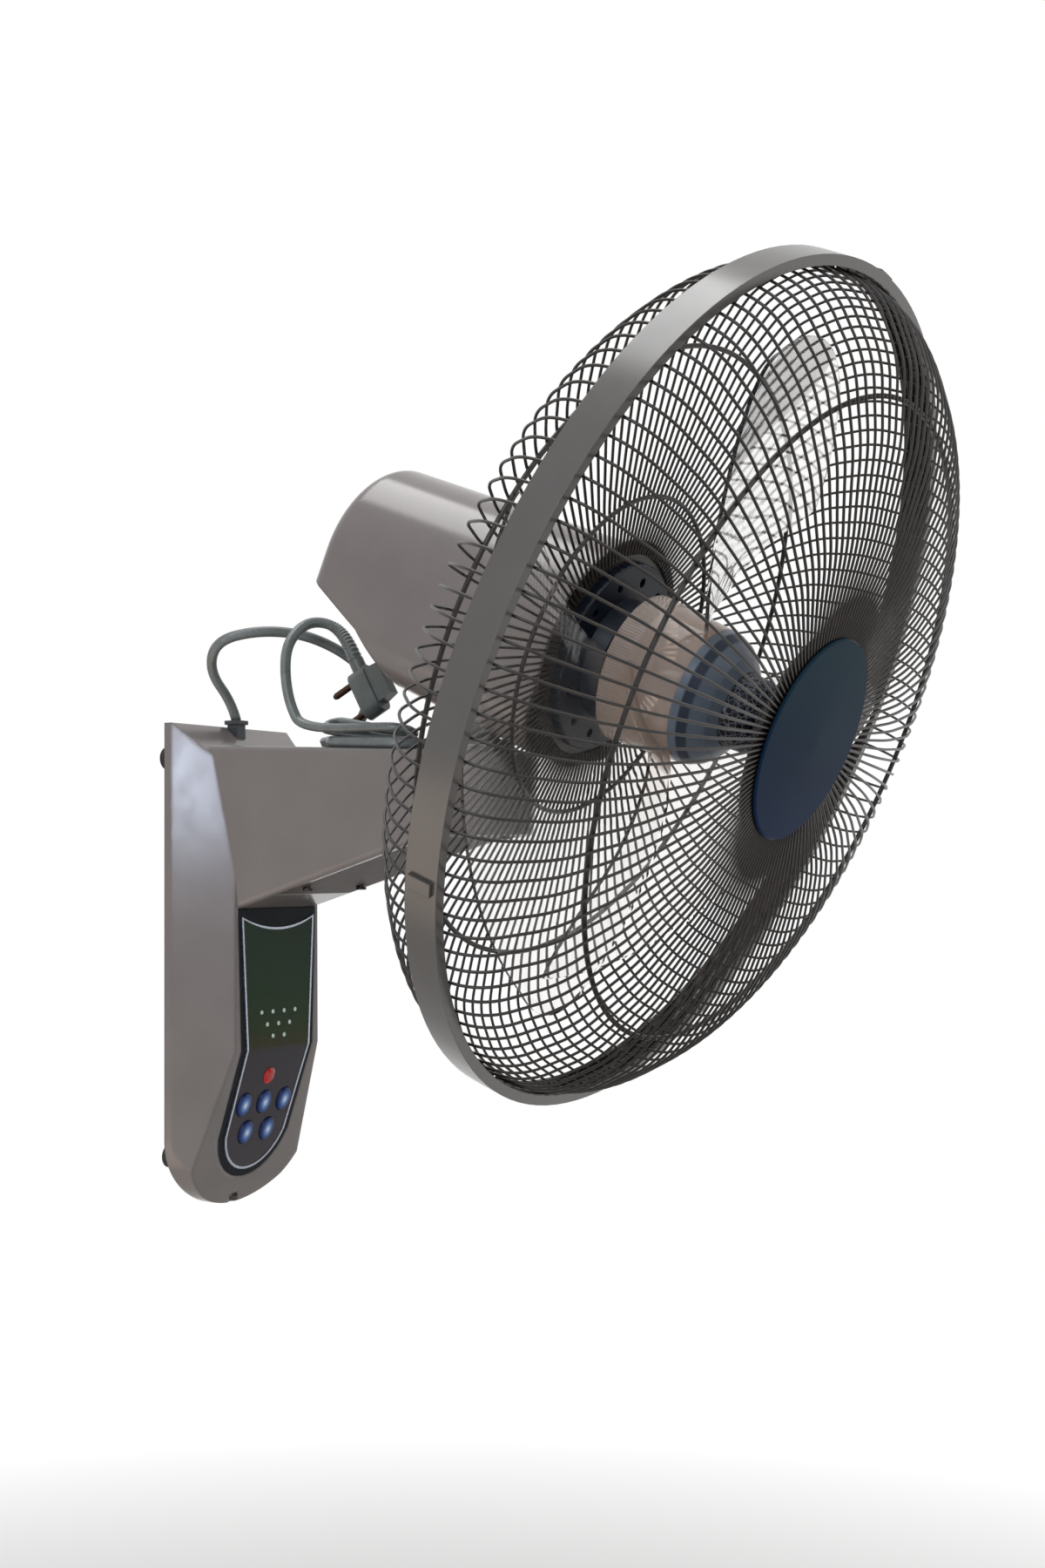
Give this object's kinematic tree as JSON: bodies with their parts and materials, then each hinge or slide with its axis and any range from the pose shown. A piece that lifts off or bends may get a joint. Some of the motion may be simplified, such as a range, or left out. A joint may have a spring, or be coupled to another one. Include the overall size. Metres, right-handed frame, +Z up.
{
  "type": "wall mounted fan",
  "caption": "Wall mounted fan with a wire guard, clear blades, a swinging and tilting head, a push button panel and a folded supply cord.",
  "frame": {"origin": "centre of the four wall screw holes, on the wall plane at the back of the wall plate", "axes": "+Z up, -Y out of the wall into the room, X across the base; the head points down and out along -Y"},
  "size_m": [0.456, 0.4319, 0.4956],
  "materials": {
    "body_abs": "satin",
    "panel_abs": "satin",
    "label_film": "gloss",
    "silver_trim": "polished",
    "red_lens": "gloss",
    "white_light": "gloss",
    "blue_button": "satin",
    "board_green": "satin",
    "part_black": "satin",
    "zinc_steel": "satin",
    "cast_alloy": "as cast",
    "core_steel": "satin",
    "copper_wire": "enamelled",
    "nylon_white": "satin",
    "rubber_dark": "matte",
    "cord_pvc": "satin",
    "plug_pvc": "satin",
    "pin_metal": "aged",
    "guard_coat": "satin",
    "band_coat": "satin",
    "nut_navy": "satin",
    "blade_clear": "gloss",
    "spinner_abs": "gloss",
    "nose_abs": "textured",
    "badge_blue": "gloss"
  },
  "bodies": {
    "base": {"base_shell": "body_abs", "arm_cover": "body_abs", "case_screws": "zinc_steel", "wall_plate": "zinc_steel", "wall_pads": "rubber_dark", "panel_frame": "panel_abs", "panel_label": "label_film", "panel_trim": "silver_trim", "ir_lens": "red_lens", "indicator_leds": "white_light", "control_board": "board_green", "tact_switches": "part_black", "power_board": "board_green", "terminal_block": "nylon_white", "swing_motor": "zinc_steel", "swing_bush": "nylon_white", "cord_gland": "plug_pvc", "cord_lead": "cord_pvc", "cord_hank": "cord_pvc", "cord_tail": "cord_pvc", "plug_body": "plug_pvc", "plug_pins": "pin_metal"},
    "neck": {"neck_fork": "body_abs", "swing_lever": "zinc_steel", "neck_clip": "zinc_steel", "tilt_bolt": "zinc_steel"},
    "crank": {"crank_arm": "zinc_steel"},
    "link": {"drag_link": "zinc_steel"},
    "head": {"motor_housing": "body_abs", "front_shield": "cast_alloy", "rear_shield": "cast_alloy", "stator_core": "core_steel", "stator_windings": "copper_wire", "motor_bearings": "core_steel", "motor_screws": "zinc_steel", "tilt_saddle": "zinc_steel", "capacitor": "part_black", "guard_plate": "guard_coat", "guard_nut": "nut_navy", "rear_wires_upper": "guard_coat", "rear_wires_lower": "guard_coat", "rear_guard_rings": "guard_coat", "guard_band": "band_coat", "front_wires_upper": "guard_coat", "front_wires_lower": "guard_coat", "front_guard_rings": "guard_coat", "front_plate": "guard_coat", "front_badge": "badge_blue", "guard_clips": "band_coat"},
    "rotor": {"rotor_core": "core_steel", "motor_shaft": "core_steel", "drive_pin": "core_steel", "fan_blade": "blade_clear", "spinner": "spinner_abs", "spinner_nose": "nose_abs"},
    "button_1_body": {"button_1": "blue_button"},
    "button_2_body": {"button_2": "blue_button"},
    "button_3_body": {"button_3": "blue_button"},
    "button_4_body": {"button_4": "blue_button"},
    "button_5_body": {"button_5": "blue_button"}
  },
  "joints": [
    {"name": "head_swing", "type": "hinge", "parent": "base", "child": "neck", "pos_m": [0, -0.1755, 0.112], "axis": [0, 0, 1], "range_deg": [-35, 35]},
    {"name": "crank_turn", "type": "hinge", "parent": "base", "child": "crank", "pos_m": [0, -0.1155, 0.0805], "axis": [0, 0, 1], "range_deg": [-35, 35]},
    {"name": "link_turn", "type": "hinge", "parent": "crank", "child": "link", "pos_m": [0.02, -0.1155, 0.0838], "axis": [0, 0, 1], "range_deg": [-35, 35]},
    {"name": "head_tilt", "type": "hinge", "parent": "neck", "child": "head", "pos_m": [0, -0.1755, 0.135], "axis": [-1, 0, 0], "range_deg": [-3, 10]},
    {"name": "blade_spin", "type": "hinge", "parent": "head", "child": "rotor", "pos_m": [0, -0.3075, 0.1377], "axis": [0, -0.9181, -0.3963], "continuous": true},
    {"name": "press_1", "type": "slide", "parent": "base", "child": "button_1_body", "axis": [0, 0.9461, 0.3238], "range_m": [0, 0.001], "stiffness_N_per_m": 400},
    {"name": "press_2", "type": "slide", "parent": "base", "child": "button_2_body", "axis": [0, 0.9461, 0.3238], "range_m": [0, 0.001], "stiffness_N_per_m": 400},
    {"name": "press_3", "type": "slide", "parent": "base", "child": "button_3_body", "axis": [0, 0.9461, 0.3238], "range_m": [0, 0.001], "stiffness_N_per_m": 400},
    {"name": "press_4", "type": "slide", "parent": "base", "child": "button_4_body", "axis": [0, 0.9461, 0.3238], "range_m": [0, 0.001], "stiffness_N_per_m": 400},
    {"name": "press_5", "type": "slide", "parent": "base", "child": "button_5_body", "axis": [0, 0.9461, 0.3238], "range_m": [0, 0.001], "stiffness_N_per_m": 400}
  ],
  "couplings": [
    {"joint": "crank_turn", "follows": "head_swing", "ratio": 1},
    {"joint": "link_turn", "follows": "head_swing", "ratio": -1}
  ]
}
